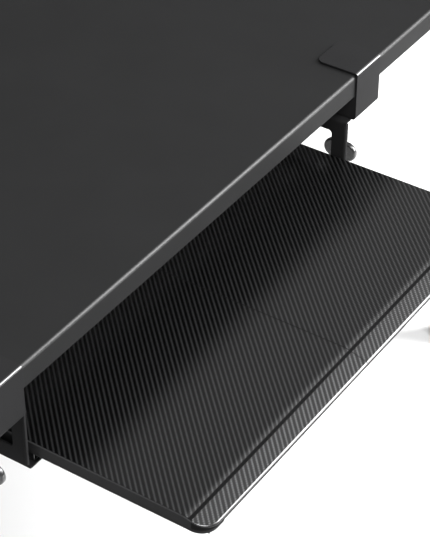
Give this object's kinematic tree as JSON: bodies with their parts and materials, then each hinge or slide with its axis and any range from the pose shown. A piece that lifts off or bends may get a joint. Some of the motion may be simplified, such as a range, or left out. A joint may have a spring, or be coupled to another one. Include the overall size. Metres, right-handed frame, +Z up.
{
  "type": "computer desk with keyboard tray",
  "caption": "Long dark desk on a steel frame, with a sliding keyboard tray hung from two screw clamps on its front edge.",
  "frame": {"origin": "on the floor, under the centre of the whole object with its tray drawn out", "axes": "+X to the sitter's right along the desk, +Y away from the sitter, +Z up"},
  "size_m": [1.6, 0.831, 0.7537],
  "materials": {
    "desktop_laminate": "matt dark laminate on board",
    "powder_coat": "fine black powder coat",
    "bracket_coat": "satin black paint",
    "tray_weave": "board with a dark twill carbon-weave film",
    "knob_plastic": "glossy black moulded plastic",
    "rubber": "matt black rubber",
    "slide_steel": "black-coated rolled steel",
    "cage_steel": "bright steel strip and balls",
    "zinc_steel": "zinc-plated steel"
  },
  "bodies": {
    "desk": {"desktop": "desktop_laminate", "left_leg_frame": "powder_coat", "right_leg_frame": "powder_coat", "front_rail": "powder_coat", "rear_rail": "powder_coat", "rail_bolt_front_left": "zinc_steel", "desktop_screw_front_left": "zinc_steel", "rail_bolt_rear_left": "zinc_steel", "desktop_screw_rear_left": "zinc_steel", "rail_bolt_front_right": "zinc_steel", "desktop_screw_front_right": "zinc_steel", "rail_bolt_rear_right": "zinc_steel", "desktop_screw_rear_right": "zinc_steel", "left_clamp": "bracket_coat", "left_clamp_top_pad": "rubber", "left_arm": "bracket_coat", "left_arm_bolt_inner": "zinc_steel", "left_arm_bolt_outer": "zinc_steel", "left_slide_outer_member": "slide_steel", "left_outer_slide_screw_front": "zinc_steel", "left_outer_slide_screw_rear": "zinc_steel", "right_clamp": "bracket_coat", "right_clamp_top_pad": "rubber", "right_arm": "bracket_coat", "right_arm_bolt_inner": "zinc_steel", "right_arm_bolt_outer": "zinc_steel", "right_slide_outer_member": "slide_steel", "right_outer_slide_screw_front": "zinc_steel", "right_outer_slide_screw_rear": "zinc_steel"},
    "tray": {"tray_left_half": "tray_weave", "left_slide_inner_member": "slide_steel", "left_inner_slide_screw_front": "zinc_steel", "join_screw_front_left": "zinc_steel", "left_inner_slide_screw_rear": "zinc_steel", "join_screw_rear_left": "zinc_steel", "tray_right_half": "tray_weave", "right_slide_inner_member": "slide_steel", "right_inner_slide_screw_front": "zinc_steel", "join_screw_front_right": "zinc_steel", "right_inner_slide_screw_rear": "zinc_steel", "join_screw_rear_right": "zinc_steel", "tray_join_plate_front": "powder_coat", "tray_join_plate_rear": "powder_coat"},
    "left_slide_middle": {"left_slide_middle_member": "slide_steel"},
    "left_outer_balls": {"left_outer_ball_cage": "cage_steel"},
    "left_inner_balls": {"left_inner_ball_cage": "cage_steel"},
    "left_clamp_pad": {"left_pressure_pad": "rubber"},
    "left_clamp_screw": {"left_clamp_screw": "zinc_steel", "left_wing_knob": "knob_plastic"},
    "right_slide_middle": {"right_slide_middle_member": "slide_steel"},
    "right_outer_balls": {"right_outer_ball_cage": "cage_steel"},
    "right_inner_balls": {"right_inner_ball_cage": "cage_steel"},
    "right_clamp_pad": {"right_pressure_pad": "rubber"},
    "right_clamp_screw": {"right_clamp_screw": "zinc_steel", "right_wing_knob": "knob_plastic"},
    "levelling_foot_front_left": {"levelling_foot_front_left": "rubber"},
    "levelling_foot_rear_left": {"levelling_foot_rear_left": "rubber"},
    "levelling_foot_front_right": {"levelling_foot_front_right": "rubber"},
    "levelling_foot_rear_right": {"levelling_foot_rear_right": "rubber"}
  },
  "joints": [
    {"name": "tray_slide", "type": "slide", "parent": "desk", "child": "tray", "axis": [0, 1, 0], "range_m": [0, 0.235]},
    {"name": "left_slide_middle_travel", "type": "slide", "parent": "desk", "child": "left_slide_middle", "axis": [0, 1, 0], "range_m": [0, 0.118]},
    {"name": "left_outer_balls_travel", "type": "slide", "parent": "desk", "child": "left_outer_balls", "axis": [0, 1, 0], "range_m": [0, 0.05925]},
    {"name": "left_inner_balls_travel", "type": "slide", "parent": "desk", "child": "left_inner_balls", "axis": [0, 1, 0], "range_m": [0, 0.17675]},
    {"name": "left_clamp_feed", "type": "slide", "parent": "desk", "child": "left_clamp_pad", "axis": [0, 0, -1], "range_m": [0, 0.018]},
    {"name": "left_clamp_turn", "type": "hinge", "parent": "left_clamp_pad", "child": "left_clamp_screw", "pos_m": [-0.38, -0.1499, 0.606], "axis": [0, 0, 1], "range_deg": [0, 5200]},
    {"name": "right_slide_middle_travel", "type": "slide", "parent": "desk", "child": "right_slide_middle", "axis": [0, 1, 0], "range_m": [0, 0.118]},
    {"name": "right_outer_balls_travel", "type": "slide", "parent": "desk", "child": "right_outer_balls", "axis": [0, 1, 0], "range_m": [0, 0.05925]},
    {"name": "right_inner_balls_travel", "type": "slide", "parent": "desk", "child": "right_inner_balls", "axis": [0, 1, 0], "range_m": [0, 0.17675]},
    {"name": "right_clamp_feed", "type": "slide", "parent": "desk", "child": "right_clamp_pad", "axis": [0, 0, -1], "range_m": [0, 0.018]},
    {"name": "right_clamp_turn", "type": "hinge", "parent": "right_clamp_pad", "child": "right_clamp_screw", "pos_m": [0.38, -0.1499, 0.606], "axis": [0, 0, 1], "range_deg": [0, 5200]},
    {"name": "levelling_foot_front_left_height", "type": "slide", "parent": "desk", "child": "levelling_foot_front_left", "axis": [0, 0, -1], "range_m": [0, 0.012]},
    {"name": "levelling_foot_rear_left_height", "type": "slide", "parent": "desk", "child": "levelling_foot_rear_left", "axis": [0, 0, -1], "range_m": [0, 0.012]},
    {"name": "levelling_foot_front_right_height", "type": "slide", "parent": "desk", "child": "levelling_foot_front_right", "axis": [0, 0, -1], "range_m": [0, 0.012]},
    {"name": "levelling_foot_rear_right_height", "type": "slide", "parent": "desk", "child": "levelling_foot_rear_right", "axis": [0, 0, -1], "range_m": [0, 0.012]}
  ],
  "couplings": [
    {"joint": "left_slide_middle_travel", "follows": "tray_slide", "ratio": 0.5},
    {"joint": "left_outer_balls_travel", "follows": "tray_slide", "ratio": 0.25},
    {"joint": "left_inner_balls_travel", "follows": "tray_slide", "ratio": 0.75},
    {"joint": "left_clamp_turn", "follows": "left_clamp_feed", "rad_per_m": 5026.5},
    {"joint": "right_slide_middle_travel", "follows": "tray_slide", "ratio": 0.5},
    {"joint": "right_outer_balls_travel", "follows": "tray_slide", "ratio": 0.25},
    {"joint": "right_inner_balls_travel", "follows": "tray_slide", "ratio": 0.75},
    {"joint": "right_clamp_turn", "follows": "right_clamp_feed", "rad_per_m": 5026.5}
  ]
}
